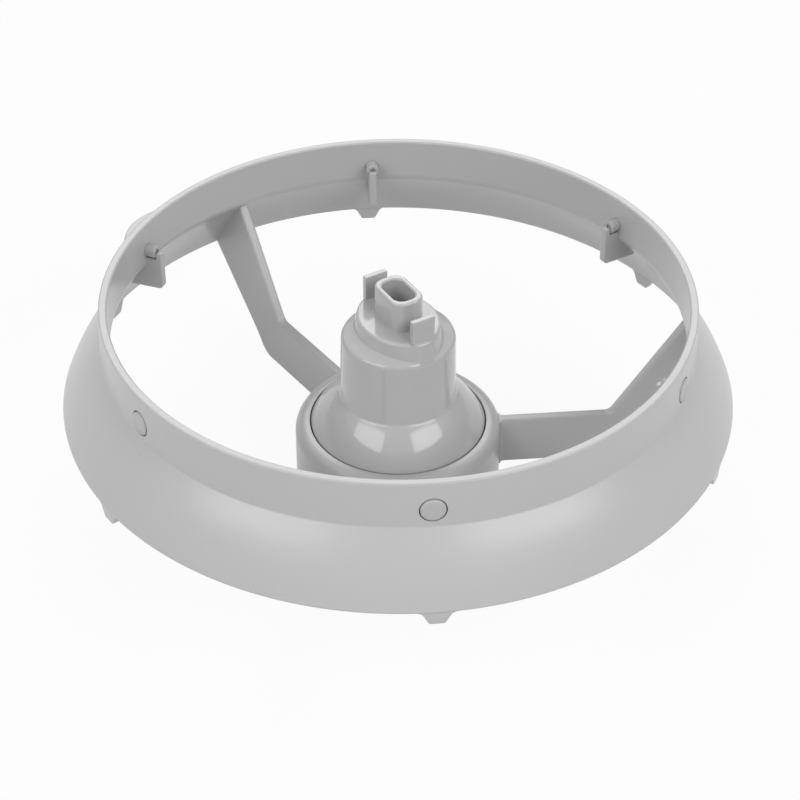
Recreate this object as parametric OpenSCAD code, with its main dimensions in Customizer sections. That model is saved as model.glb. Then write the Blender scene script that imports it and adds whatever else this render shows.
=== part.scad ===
// Carrier ring that holds a food processor's blade disc inside the bowl.
// A band with a flared skirt stands on three arms, and a drive coupling turns in the hub between them.
// The origin is on the ring's axis, at the foot of the hub, and +Z is up.

/* [Band] */
// Outer diameter of the band
band_d = 168; // [150:1:190]
// Height of the band above the skirt
band_h = 13; // [12:0.5:18]
// Wall thickness of the band and the skirt
wall = 2.4; // [2:0.1:2.6]
// Chamfer on the rim's inner edge
rim_chamfer = 0.4; // [0.2:0.1:1]
// Rounding of the rim's outer edge
rim_round = 0.5; // [0.2:0.1:0.6]

/* [Skirt] */
// Height of the flared skirt
skirt_h = 19.4; // [17:0.2:24]
// Reach of the skirt's foot beyond the band
skirt_flare = 12.8; // [11:0.2:16]
// Bulge of the skirt's wall beyond a straight cone
skirt_bulge = 1.35; // [0.8:0.05:1.8]
// Height of the skirt's foot above the hub's foot
skirt_lift = 35.3; // [33:0.1:40]
// Rounding where the band turns into the skirt
flare_round = 1.5; // [0.5:0.1:3]
// Rounding of the skirt's foot
foot_round = 0.7; // [0.3:0.1:0.8]

/* [Teeth] */
// Depth of a locating tooth below the skirt's foot
tooth_h = 3.8; // [2.5:0.1:5]
// Width of a tooth at the skirt's foot
tooth_base_w = 8.1; // [6.5:0.1:10]
// Width of a tooth at its tip
tooth_tip_w = 4.2; // [3:0.1:5.5]
// Thickness of a tooth
tooth_t = 1.8; // [1.4:0.1:2]
// Concave rounding at a tooth's root
tooth_root_round = 2; // [0.5:0.1:2.4]
// Rounding of a tooth's tip corners
tooth_tip_round = 1; // [0.3:0.1:1.3]

/* [Fins] */
// Reach of a fin's inner edge inside the band's outer face
fin_reach = 7.3; // [6.5:0.1:9]
// Height of a fin from its foot to the tip of its horn
fin_h = 12.6; // [10:0.1:14]
// Thickness of a fin
fin_t = 2.2; // [1.6:0.1:3]
// Width of the horn at a fin's inner edge
horn_w = 1.6; // [1.2:0.1:2]
// Rounding of a fin's lower inner corner
fin_round = 1.5; // [0.5:0.1:2.5]
// Gap between a pin's shank and the fin's saddle below it
saddle_gap = 0.65; // [0.3:0.05:1]

/* [Pins] */
// Height of the pins' centres above the skirt's top
pin_rise = 4.9; // [4.4:0.1:6]
// Diameter of a pin's head
pin_head_d = 7.2; // [6:0.1:8]
// Diameter of a pin's shank
pin_shank_d = 3.9; // [3:0.1:4.4]
// How far a pin's head stands out of the band
pin_proud = 0.4; // [0.2:0.1:0.8]
// Depth of the recess that a pin's head sits in
pin_seat = 1.2; // [0.8:0.1:1.4]
// Gap around a pin's head
pin_head_gap = 0.2; // [0.1:0.05:0.4]
// Diameter of the hollow in a pin's inner end
pin_hollow_d = 2; // [1:0.1:2.4]
// Depth of the hollow in a pin's inner end
pin_hollow_depth = 3; // [1:0.1:4]
// Gap between a pin's inner end and the horn that stops it
pin_end_gap = 0.1; // [0.05:0.05:0.3]

/* [Key] */
// How far the locating key stands out of the band
key_out = 2.2; // [1.5:0.1:4]
// Radius of the key's outer face
key_round = 17; // [14:1:24]
// Drop of the key's top below the rim
key_drop = 0.3; // [0.1:0.1:3]

/* [Arms] */
// Width of an arm's top edge
arm_top_w = 3; // [2.4:0.1:4]
// Draft of an arm's side faces, in degrees
arm_draft = 9; // [4:0.5:12]
// Height of an arm beside the hub
arm_h = 13.6; // [11:0.2:16]
// Drop of an arm's top edge below the hub's rim
arm_drop = 2; // [0.5:0.1:4]
// Distance from the band's outer face in to the bend of an arm's top edge
arm_bend_in = 21.2; // [18:0.2:26]
// Distance from the band's outer face in to the heel of an arm's lower edge
arm_heel_in = 16.4; // [14:0.2:20]
// Drop of an arm's top edge below the skirt's top, where it meets the skirt
arm_root_drop = 2.3; // [1.8:0.1:5]
// Rounding of the bend in an arm's top edge
arm_bend_round = 2.5; // [1:0.5:6]
// Rounding of an arm's heel
arm_heel_round = 8; // [3:0.5:14]
// Rounding of an arm's top edges
arm_edge_round = 0.7; // [0.3:0.1:1]

/* [Hub] */
// Outer diameter of the hub
hub_d = 60.6; // [57:0.2:66]
// Height of the hub
hub_h = 22.1; // [20:0.1:26]
// Wall thickness of the hub
hub_wall = 4.1; // [3.2:0.1:4.4]
// Rounding of the hub's outer rim
hub_round = 2.9; // [1:0.1:2.9]
// Depth of the recess under the hub's floor
recess_h = 4.4; // [4.2:0.1:6]
// Thickness of the hub's floor
floor_t = 2.5; // [2:0.1:3.5]
// Height of the bearing tube from the hub's recess
tube_h = 13; // [10:0.5:13.5]
// Wall thickness of the bearing tube
tube_wall = 2.5; // [2:0.1:3.5]

/* [Bearing] */
// Wall thickness of the bearing bush
bush_wall = 1.45; // [1:0.05:2]
// Thickness of the bush's flange and reach of the flange past the bush
bush_flange = 1; // [0.8:0.1:1.6]
// Thickness of the thrust washer
washer_t = 0.8; // [0.5:0.1:1.2]
// Running clearance between the stem and the bush, on the radius
run_gap = 0.05; // [0.02:0.01:0.08]
// End play of the coupling in its bearing
end_play = 0.1; // [0.05:0.01:0.15]
// Thickness of the retaining clip
clip_t = 1.2; // [0.8:0.1:1.4]
// Radial width of the retaining clip
clip_w = 3.1; // [2.6:0.1:3.6]
// Opening of the retaining clip, in degrees
clip_open = 60; // [40:5:100]
// Depth of the clip's groove in the stem
groove_depth = 1; // [0.6:0.1:1.4]
// Width of the stem's collar that runs on the thrust washer
collar_w = 2.4; // [1.8:0.1:2.8]

/* [Coupling] */
// Gap between the coupling's bell and the hub's wall
bell_gap = 0.6; // [0.4:0.05:1]
// Depth of the bell's edge inside the hub
bell_skirt = 5; // [3:0.5:7]
// Height of the bell from the hub's rim to the foot of the tower
bell_h = 10.6; // [9:0.2:14]
// Bulge of the bell's wall beyond a straight cone
bell_bulge = 0.6; // [0.2:0.1:1]
// Wall thickness of the coupling
shell = 2.2; // [1.8:0.1:2.8]
// Diameter of the tower at its foot
tower_d = 33.8; // [32:0.2:36]
// Height of the tower from the bell to the shoulder
tower_h = 20.2; // [15:0.2:24]
// Draft of the tower, on the radius
tower_draft = 0.4; // [0:0.1:0.6]
// Radius of the fillet between the tower and the bell
tower_foot = 1; // [0.4:0.1:3]
// Rounding of the tower's shoulder
shoulder_round = 1.2; // [0.4:0.1:1.6]
// Height of the step above the shoulder
step_h = 5.4; // [4:0.2:6]
// Length of the step along the lugs
step_l = 29.6; // [27:0.2:30]
// Width of the step across the lugs
step_w = 23.4; // [21:0.2:25]
// Extra radius of the step's long sides over its ends
step_bow = 1.1; // [0.4:0.1:2]
// Rounding of the step's top edge
step_round = 1; // [0.4:0.1:1.4]
// Turn of the lugs from the X axis, in degrees
coupling_turn = -65; // [-90:1:90]

/* [Socket and lugs] */
// Outer length of the oval socket
socket_l = 14.8; // [13.5:0.1:16]
// Outer width of the oval socket
socket_w = 10; // [9:0.1:12]
// Wall thickness of the socket at its ends
socket_wall = 1.9; // [1.5:0.1:2.2]
// Wall thickness of the socket along its sides
socket_side_wall = 1.6; // [1.2:0.1:2]
// Height of the socket above the step
socket_h = 9.8; // [8:0.2:12]
// Depth of the socket's hole
socket_depth = 14; // [8:0.5:14]
// Outer corner radius of the socket
socket_round = 3.6; // [2.4:0.1:4.2]
// Corner radius of the socket's hole
socket_hole_round = 2.8; // [1.5:0.1:3]
// Thickness of a lug
lug_t = 1.65; // [1.2:0.05:2]
// Length of a lug
lug_l = 7.3; // [5:0.1:9]
// Height of a lug above the step
lug_h = 7.8; // [6:0.2:11]
// Distance from a lug's outer face in from the end of the step
lug_inset = 1; // [0:0.1:2]

/* [Spindle bore] */
// Diameter of the spindle bore
bore_d = 10; // [8:0.1:10.6]
// Wall thickness of the stem around the spindle bore
stem_wall = 3; // [2.8:0.1:4]
// Width of the spindle bore's keyways
key_w = 3; // [2:0.1:3.4]
// Depth of the keyways past the bore
key_depth = 1.2; // [0.6:0.1:1.4]
// Length of stem below the retaining clip
stem_tail = 1.5; // [1:0.1:1.5]
// Thickness of plastic between the spindle bore and the tower's shoulder
bore_cover = 2.9; // [2:0.1:5]

/* [Hidden] */
ARMS = 3;
STATIONS = 6;
STATION_STEP = 360 / STATIONS;
FIRST_STATION = -90;
KEY_STATION = 5;
PINS = [for (i = [1:STATIONS]) str("ring_pin_", i)];

$fn = 96;
ARC_STEPS = 6;

// Clearance of pieces that are pressed or snapped into place
press_gap = 0.02;
// Distance that a cut runs past the face it opens
cut_past = 1;
// Overlap of features of one moulding
embed = 0.5;
// Small rounding of edges and of inner corners
edge_ease = 0.5;
pin_ease = 0.3;
inner_ease = 1;

ring_grey = "#b2b2b2";
coupling_grey = "#b8b8b8";
bush_white = "#e4e0d6";
steel_grey = "#8c9094";

// Levels and radii of the ring
band_r = band_d / 2;
band_in_r = band_r - wall;
skirt_top_z = skirt_lift + skirt_h;
rim_z = skirt_top_z + band_h;
foot_r = band_r + skirt_flare;
tooth_tip_z = skirt_lift - tooth_h;
pin_z = skirt_top_z + pin_rise;
horn_r = band_r - fin_reach + horn_w;

// The skirt's outer face is an arc through its top and its foot
skirt_chord = [skirt_flare, -skirt_h];
skirt_arc_r = (skirt_chord * skirt_chord / 4 + skirt_bulge * skirt_bulge) / (2 * skirt_bulge);
skirt_out_dir = [skirt_h, skirt_flare] / norm(skirt_chord);
skirt_centre = [band_r, skirt_top_z] + skirt_chord / 2 + skirt_out_dir * (skirt_bulge - skirt_arc_r);

// Levels and radii of the hub and its bearing
hub_r = hub_d / 2;
cup_r = hub_r - hub_wall;
floor_z = recess_h + floor_t;
tube_top_z = recess_h + tube_h;
stem_r = bore_d / 2 + stem_wall;
bush_in_r = stem_r + run_gap;
bush_out_r = bush_in_r + bush_wall;
tube_in_r = bush_out_r + press_gap;
tube_r = tube_in_r + tube_wall;
flange_r = bush_out_r + 2 * bush_flange;
washer_z = tube_top_z + bush_flange;
collar_z = washer_z + washer_t + end_play;
clip_z = recess_h - end_play - clip_t;
groove_r = stem_r - groove_depth;
clip_in_r = groove_r + run_gap;
stem_z = clip_z - press_gap - stem_tail;

// Levels and radii of the coupling
bell_r = cup_r - bell_gap;
bell_top_z = hub_h + bell_h;
shoulder_z = bell_top_z + tower_h;
step_z = shoulder_z + step_h;
tower_r = tower_d / 2;
tower_top_r = tower_r - tower_draft;
collar_r = stem_r + collar_w;
bore_top_z = shoulder_z - bore_cover;
socket_z = step_z + socket_h;
lug_out = step_l / 2 - lug_inset;

// Levels and places of an arm
arm_top_z = hub_h - arm_drop;
arm_low_z = arm_top_z - arm_h;
arm_start = hub_r - hub_wall / 2;
arm_bend_s = band_r - arm_bend_in;
arm_heel_s = band_r - arm_heel_in;
arm_root_z = skirt_top_z - arm_root_drop;
arm_root_s = skirt_r(arm_root_z, wall);
arm_rise = atan2(arm_root_z - arm_top_z, arm_root_s - arm_bend_s);
arm_bend_start = arm_bend_s - arm_bend_round * tan(arm_rise / 2);
arm_run = arm_bend_in * cos(arm_rise) + (skirt_top_z - arm_top_z) * sin(arm_rise);
arm_section_h = arm_h + skirt_h;

// Radius of the skirt's wall at a height, at a depth inside its outer face
function skirt_r(z, depth) =
    skirt_centre[0] + sqrt(pow(skirt_arc_r - depth, 2) - pow(z - skirt_centre[1], 2));

// Points of an arc about a centre
function arc(centre, r, from, to, steps = ARC_STEPS) =
    [for (i = [0:steps]) let (a = from + (to - from) * i / steps) centre + r * [cos(a), sin(a)]];

// Angle of a point seen from a centre
function angle_at(centre, p) = atan2(p[1] - centre[1], p[0] - centre[0]);

// Arc of the skirt's wall at a depth inside its outer face, from one height down to another
function skirt_path(depth, from_z, to_z) =
    arc(skirt_centre, skirt_arc_r - depth,
        angle_at(skirt_centre, [skirt_r(from_z, depth), from_z]),
        angle_at(skirt_centre, [skirt_r(to_z, depth), to_z]));

function flat(p) = [p[0], p[1]];
function unit(v) = v / norm(v);

// Points that round the corner b between a and c, or b alone where it has no radius
function corner(a, b, c) =
    len(b) < 3 || b[2] == 0 ? [flat(b)] :
    let (
        u = unit(flat(a) - flat(b)),
        v = unit(flat(c) - flat(b)),
        half = acos(u * v) / 2,
        centre = flat(b) + unit(u + v) * b[2] / sin(half),
        start = angle_at(centre, flat(b) + u * b[2] / tan(half)),
        turn = (180 - 2 * half) * (u[0] * v[1] - u[1] * v[0] > 0 ? -1 : 1)
    )
    arc(centre, b[2], start, start + turn);

// Outline with its corners rounded: each point is [x, y] or [x, y, radius]
function rounded(pts) =
    let (n = len(pts))
    [for (i = [0:n - 1]) each corner(pts[(i + n - 1) % n], pts[i], pts[(i + 1) % n])];

// Bulging path from one point to another, to the right of its direction
function bulged(a, b, bulge) =
    let (
        chord = b - a,
        r = (chord * chord / 4 + bulge * bulge) / (2 * bulge),
        side = [chord[1], -chord[0]] / norm(chord),
        centre = (a + b) / 2 + side * (bulge - r)
    )
    arc(centre, r, angle_at(centre, a), angle_at(centre, b));

// Plate that stands on the ring's radius: its outline is radius and height
module radial_plate(thickness) {
    rotate([90, 0, 0])
        linear_extrude(height = thickness, center = true)
            children();
}

module at_stations() {
    for (i = [0:STATIONS - 1])
        rotate([0, 0, FIRST_STATION + i * STATION_STEP])
            children();
}

// Band and skirt

module ring_wall() {
    inner_top_z = skirt_centre[1] + sqrt(pow(skirt_arc_r - wall, 2) - pow(band_in_r - skirt_centre[0], 2));
    outer = skirt_path(0, skirt_top_z, skirt_lift);
    inner = skirt_path(wall, skirt_lift, inner_top_z);
    rotate_extrude()
        polygon(rounded(concat(
            [[band_in_r + rim_chamfer, rim_z], [band_r, rim_z, rim_round]],
            [[band_r, skirt_top_z, flare_round]],
            [for (i = [1:len(outer) - 2]) outer[i]],
            [[foot_r, skirt_lift, foot_round], [inner[0][0], skirt_lift, foot_round]],
            [for (i = [1:len(inner) - 1]) inner[i]],
            [[band_in_r, rim_z - rim_chamfer]]
        )));
}

// Everything inside the middle of the ring's wall
module inside_wall() {
    mid = skirt_path(wall / 2, skirt_top_z, skirt_lift);
    low_z = skirt_lift - cut_past;
    rotate_extrude()
        polygon(concat(
            [[0, low_z], [0, rim_z + cut_past], [band_r - wall / 2, rim_z + cut_past]],
            [[band_r - wall / 2, skirt_top_z]],
            [for (i = [1:len(mid) - 1]) mid[i]],
            [[mid[len(mid) - 1][0], low_z]]
        ));
}

// Locating tooth below the skirt's foot
module tooth() {
    root_z = skirt_lift + embed;
    side = tooth_base_w / 2 + 2 * tooth_root_round;
    intersection() {
        rotate_extrude()
            polygon([
                [foot_r, skirt_lift],
                [foot_r, tooth_tip_z - cut_past],
                [foot_r - tooth_t, tooth_tip_z - cut_past],
                [foot_r - tooth_t, root_z],
                [skirt_r(root_z, 0), root_z]
            ]);
        translate([band_r, 0, 0])
            rotate([90, 0, 90])
                linear_extrude(height = 2 * skirt_flare)
                    polygon(rounded([
                        [-side, root_z],
                        [-side, skirt_lift],
                        [-tooth_base_w / 2, skirt_lift, tooth_root_round],
                        [-tooth_tip_w / 2, tooth_tip_z, tooth_tip_round],
                        [tooth_tip_w / 2, tooth_tip_z, tooth_tip_round],
                        [tooth_base_w / 2, skirt_lift, tooth_root_round],
                        [side, skirt_lift],
                        [side, root_z]
                    ]));
    }
}

// Upright fin under a pin, with a horn that stops the pin's inner end
module fin() {
    saddle_z = pin_z - pin_shank_d / 2 - saddle_gap;
    low_z = pin_z - fin_h;
    in_r = band_r - fin_reach;
    mid_r = band_r - wall / 2;
    radial_plate(fin_t)
        polygon(rounded([
            [in_r, low_z, fin_round],
            [in_r, pin_z, horn_w / 4],
            [horn_r, pin_z, horn_w / 4],
            [horn_r, saddle_z],
            [mid_r, saddle_z],
            [mid_r, skirt_top_z - wall / 2],
            [skirt_r(low_z, wall / 2), low_z]
        ]));
}

// Stepped hole for a pin, open at the band's outer face
module pin_hole() {
    translate([0, 0, pin_z])
        rotate([0, 90, 0]) {
            translate([0, 0, band_in_r - cut_past])
                cylinder(h = wall + cut_past, r = pin_shank_d / 2 + press_gap);
            translate([0, 0, band_r - pin_seat])
                cylinder(h = skirt_flare, r = pin_head_d / 2 + pin_head_gap);
        }
}

// Locating key on the band's outside
module outer_key() {
    difference() {
        translate([band_r + key_out - key_round, 0, skirt_lift])
            cylinder(h = rim_z - key_drop - skirt_lift, r = key_round);
        inside_wall();
    }
}

// Arms

// Section of an arm below its top edge: x is across the arm, y is up
module arm_section() {
    half_top = arm_top_w / 2;
    half_low = half_top + arm_section_h * tan(arm_draft);
    polygon(rounded([
        [-half_low, -arm_section_h],
        [half_low, -arm_section_h],
        [half_top, 0, arm_edge_round],
        [-half_top, 0, arm_edge_round]
    ]));
}

// The section carried out from the hub, round the bend and up to the skirt
module arm_sweep() {
    translate([arm_start, 0, arm_top_z])
        rotate([90, 0, 90])
            linear_extrude(height = arm_bend_start - arm_start + embed)
                arm_section();
    translate([arm_bend_start, 0, arm_top_z + arm_bend_round]) {
        rotate([90, 90, 0])
            rotate_extrude(angle = arm_rise)
                translate([arm_bend_round, 0])
                    rotate(90)
                        arm_section();
        rotate([0, -arm_rise, 0])
            translate([-embed, 0, -arm_bend_round])
                rotate([90, 0, 90])
                    linear_extrude(height = arm_run + 2 * embed)
                        arm_section();
    }
}

// One arm: its lower edge and its outer end follow the side profile
module arm() {
    mid = skirt_path(wall / 2, skirt_lift + wall / 2, skirt_top_z);
    intersection() {
        arm_sweep();
        radial_plate(hub_r)
            polygon(rounded(concat(
                [[arm_start, arm_low_z], [arm_heel_s, arm_low_z, arm_heel_round]],
                mid,
                [[arm_start, skirt_top_z]]
            )));
    }
}

// Hub

module hub_shell() {
    rotate_extrude()
        polygon(rounded([
            [hub_r, 0, edge_ease],
            [hub_r, hub_h, hub_round],
            [cup_r, hub_h],
            [cup_r, floor_z, inner_ease],
            [tube_r, floor_z, inner_ease],
            [tube_r, tube_top_z],
            [tube_in_r, tube_top_z],
            [tube_in_r, recess_h],
            [cup_r, recess_h, inner_ease],
            [cup_r, 0]
        ]));
}

module holder_ring() {
    color(ring_grey)
        difference() {
            union() {
                ring_wall();
                hub_shell();
                for (i = [0:ARMS - 1])
                    rotate([0, 0, i * 360 / ARMS])
                        arm();
                at_stations() {
                    tooth();
                    fin();
                }
                rotate([0, 0, FIRST_STATION + (KEY_STATION - 1) * STATION_STEP])
                    outer_key();
            }
            at_stations()
                pin_hole();
        }
}

// Pieces held in the ring

// Stepped pin that plugs one station, with a hollow inner end
module ring_pin(station) {
    seat_r = band_r - pin_seat;
    inner_r = horn_r + pin_end_gap;
    shank = pin_shank_d / 2;
    hollow = pin_hollow_d / 2;
    color(ring_grey)
        rotate([0, 0, FIRST_STATION + (station - 1) * STATION_STEP])
            translate([0, 0, pin_z])
                rotate([0, 90, 0])
                    rotate_extrude()
                        polygon(rounded([
                            [0, inner_r + pin_hollow_depth],
                            [hollow, inner_r + pin_hollow_depth],
                            [hollow, inner_r],
                            [shank, inner_r, pin_ease],
                            [shank, seat_r],
                            [pin_head_d / 2, seat_r],
                            [pin_head_d / 2, band_r + pin_proud, pin_ease],
                            [0, band_r + pin_proud]
                        ]));
}

// Flanged bush pressed into the bearing tube
module hub_bush() {
    color(bush_white)
        rotate_extrude()
            polygon([
                [bush_in_r, recess_h],
                [bush_out_r, recess_h],
                [bush_out_r, tube_top_z],
                [flange_r, tube_top_z],
                [flange_r, washer_z],
                [bush_in_r, washer_z]
            ]);
}

// Washer between the bush's flange and the stem's collar
module thrust_washer() {
    color(steel_grey)
        translate([0, 0, washer_z])
            difference() {
                cylinder(h = washer_t, r = flange_r);
                translate([0, 0, -cut_past])
                    cylinder(h = washer_t + 2 * cut_past, r = bush_in_r);
            }
}

// Open clip in the stem's groove, below the bush
module retaining_clip() {
    out_r = clip_in_r + clip_w;
    reach = 2 * out_r;
    color(steel_grey)
        translate([0, 0, clip_z])
            difference() {
                cylinder(h = clip_t, r = out_r);
                translate([0, 0, -cut_past]) {
                    cylinder(h = clip_t + 2 * cut_past, r = clip_in_r);
                    linear_extrude(height = clip_t + 2 * cut_past)
                        polygon([
                            [0, 0],
                            reach * [cos(clip_open / 2), -sin(clip_open / 2)],
                            reach * [cos(clip_open / 2), sin(clip_open / 2)]
                        ]);
                }
            }
}

// Drive coupling

// Turned part of the coupling: bell, tower and stem, hollow from below
module coupling_body() {
    edge_z = hub_h - bell_skirt;
    bell_out = bulged([bell_r, hub_h], [tower_r, bell_top_z], bell_bulge);
    bell_in = bulged([bell_r - shell, hub_h], [tower_r - shell, bell_top_z - shell / 2], bell_bulge);
    ceiling_z = shoulder_z - shell;
    rotate_extrude()
        polygon(rounded(concat(
            [[0, shoulder_z], [0, bore_top_z], [bore_d / 2, bore_top_z], [bore_d / 2, stem_z]],
            [[stem_r, stem_z, edge_ease], [stem_r, clip_z - press_gap], [groove_r, clip_z - press_gap]],
            [[groove_r, clip_z + clip_t + press_gap], [stem_r, clip_z + clip_t + press_gap]],
            [[stem_r, collar_z], [collar_r, collar_z], [collar_r, ceiling_z, inner_ease]],
            [[tower_r - shell, ceiling_z, inner_ease]],
            [for (i = [len(bell_in) - 1:-1:0]) bell_in[i]],
            [[bell_r - shell, edge_z], [bell_r, edge_z, edge_ease]],
            [for (i = [0:len(bell_out) - 2]) bell_out[i]],
            [[tower_r, bell_top_z, tower_foot], [tower_top_r, shoulder_z, shoulder_round]]
        )));
}

// One limit of the step's plan: a disc with a rounded top edge
module step_disc(r) {
    translate([0, 0, shoulder_z - embed])
        rotate_extrude()
            polygon(rounded([
                [0, 0],
                [r, 0],
                [r, step_h + embed, step_round],
                [0, step_h + embed]
            ]));
}

// Step on the tower's shoulder, narrower across the lugs than along them
module tower_step() {
    side_r = step_l / 2 + step_bow;
    offset = side_r - step_w / 2;
    intersection() {
        step_disc(step_l / 2);
        translate([0, offset, 0])
            step_disc(side_r);
        translate([0, -offset, 0])
            step_disc(side_r);
    }
}

// Oval column, l long, w wide, with corners of radius r
module oval(l, w, r, h) {
    linear_extrude(height = h)
        polygon(rounded([
            [-l / 2, -w / 2, r],
            [l / 2, -w / 2, r],
            [l / 2, w / 2, r],
            [-l / 2, w / 2, r]
        ]));
}

// Flat lug that stands on the step, inside its rounded end
module lug() {
    translate([lug_out - lug_t, -lug_l / 2, shoulder_z - embed])
        cube([lug_t, lug_l, step_h + lug_h + embed]);
}

module drive_coupling() {
    hole_l = socket_l - 2 * socket_wall;
    hole_w = socket_w - 2 * socket_side_wall;
    color(coupling_grey)
        rotate([0, 0, coupling_turn])
            difference() {
                union() {
                    coupling_body();
                    tower_step();
                    translate([0, 0, step_z - embed])
                        oval(socket_l, socket_w, socket_round, socket_h + embed);
                    for (side = [0, 180])
                        rotate([0, 0, side])
                            lug();
                }
                translate([0, 0, socket_z - socket_depth])
                    oval(hole_l, hole_w, socket_hole_round, socket_depth + cut_past);
                translate([-bore_d / 2 - key_depth, -key_w / 2, stem_z - cut_past])
                    cube([bore_d + 2 * key_depth, key_w, bore_top_z - stem_z + cut_past]);
            }
}

holder_ring();
for (i = [1:STATIONS])
    ring_pin(i);
hub_bush();
thrust_washer();
retaining_clip();
drive_coupling();
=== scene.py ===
"""Looks of a food processor's carrier ring: smooth mouldings, finishes, studio light and camera.

Shapes are drawn in millimetres in the CAD model's frame, and each finished mesh is scaled to metres.
"""

import logging
import math
from collections.abc import Iterable, Sequence
from dataclasses import dataclass, field
from enum import Enum

import bmesh
import bpy
from bmesh.types import BMEdge, BMesh, BMFace, BMVert
from bpy.types import Material, Node, NodeSocket, Object
from mathutils import Matrix, Vector


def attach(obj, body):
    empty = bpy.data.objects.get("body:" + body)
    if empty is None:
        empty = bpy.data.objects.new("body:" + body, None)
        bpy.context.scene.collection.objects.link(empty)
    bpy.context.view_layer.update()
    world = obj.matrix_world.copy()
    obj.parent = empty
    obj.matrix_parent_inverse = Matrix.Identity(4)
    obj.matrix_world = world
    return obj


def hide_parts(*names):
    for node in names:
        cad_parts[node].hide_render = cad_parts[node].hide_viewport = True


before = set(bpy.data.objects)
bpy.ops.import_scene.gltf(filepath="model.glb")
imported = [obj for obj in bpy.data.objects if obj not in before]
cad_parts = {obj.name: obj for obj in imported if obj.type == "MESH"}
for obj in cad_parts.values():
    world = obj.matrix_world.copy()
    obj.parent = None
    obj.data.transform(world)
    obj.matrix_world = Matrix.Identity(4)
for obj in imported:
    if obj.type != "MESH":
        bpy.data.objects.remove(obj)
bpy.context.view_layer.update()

MM = 0.001
Z_AXIS = (0.0, 0.0, 1.0)
log = logging.getLogger("carrier_ring")


class Body(Enum):
    """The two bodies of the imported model."""

    RING = "ring"
    COUPLING = "coupling"


class Union(Enum):
    """What an exact Boolean does with its second forms."""

    JOIN = "UNION"
    CUT = "DIFFERENCE"
    KEEP_SHARED = "INTERSECT"


# Drawing and modelling


@dataclass(frozen=True)
class Arc:
    """An arc in the XZ plane, given by its centre and radius in millimetres."""

    x: float
    z: float
    radius: float

    @staticmethod
    def bulging(start: tuple[float, float], end: tuple[float, float], bulge: float) -> "Arc":
        """Makes the arc through two points that bulges away from the Z axis.

        Args:
            start: One end, as x and z.
            end: The other end, as x and z.
            bulge: Height of the arc over its chord.

        Returns:
            The arc.
        """
        chord = Vector(end) - Vector(start)
        radius = (chord.length_squared / 4 + bulge * bulge) / (2 * bulge)
        outward = Vector((-chord.y, chord.x)).normalized()
        if outward.x < 0:
            outward.negate()
        centre = (Vector(start) + Vector(end)) / 2 + outward * (bulge - radius)
        return Arc(centre.x, centre.y, radius)

    def inside(self, depth: float) -> "Arc":
        """Makes the arc that runs at a depth inside this one."""
        return Arc(self.x, self.z, self.radius - depth)

    def at_z(self, z: float, offset: float = 0.0) -> tuple[float, float]:
        """Finds the point at a height, at an offset outside the arc."""
        return self.x + math.sqrt((self.radius + offset) ** 2 - (z - self.z) ** 2), z

    def at_x(self, x: float, offset: float = 0.0) -> tuple[float, float]:
        """Finds the point at a distance from the axis, at an offset outside the arc."""
        return x, self.z + math.sqrt((self.radius + offset) ** 2 - (x - self.x) ** 2)

    def towards(self, point: tuple[float, float]) -> tuple[float, float]:
        """Finds the arc's point in the direction of another point."""
        way = Vector(point) - Vector((self.x, self.z))
        spot = Vector((self.x, self.z)) + way.normalized() * self.radius
        return spot.x, spot.y


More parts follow.
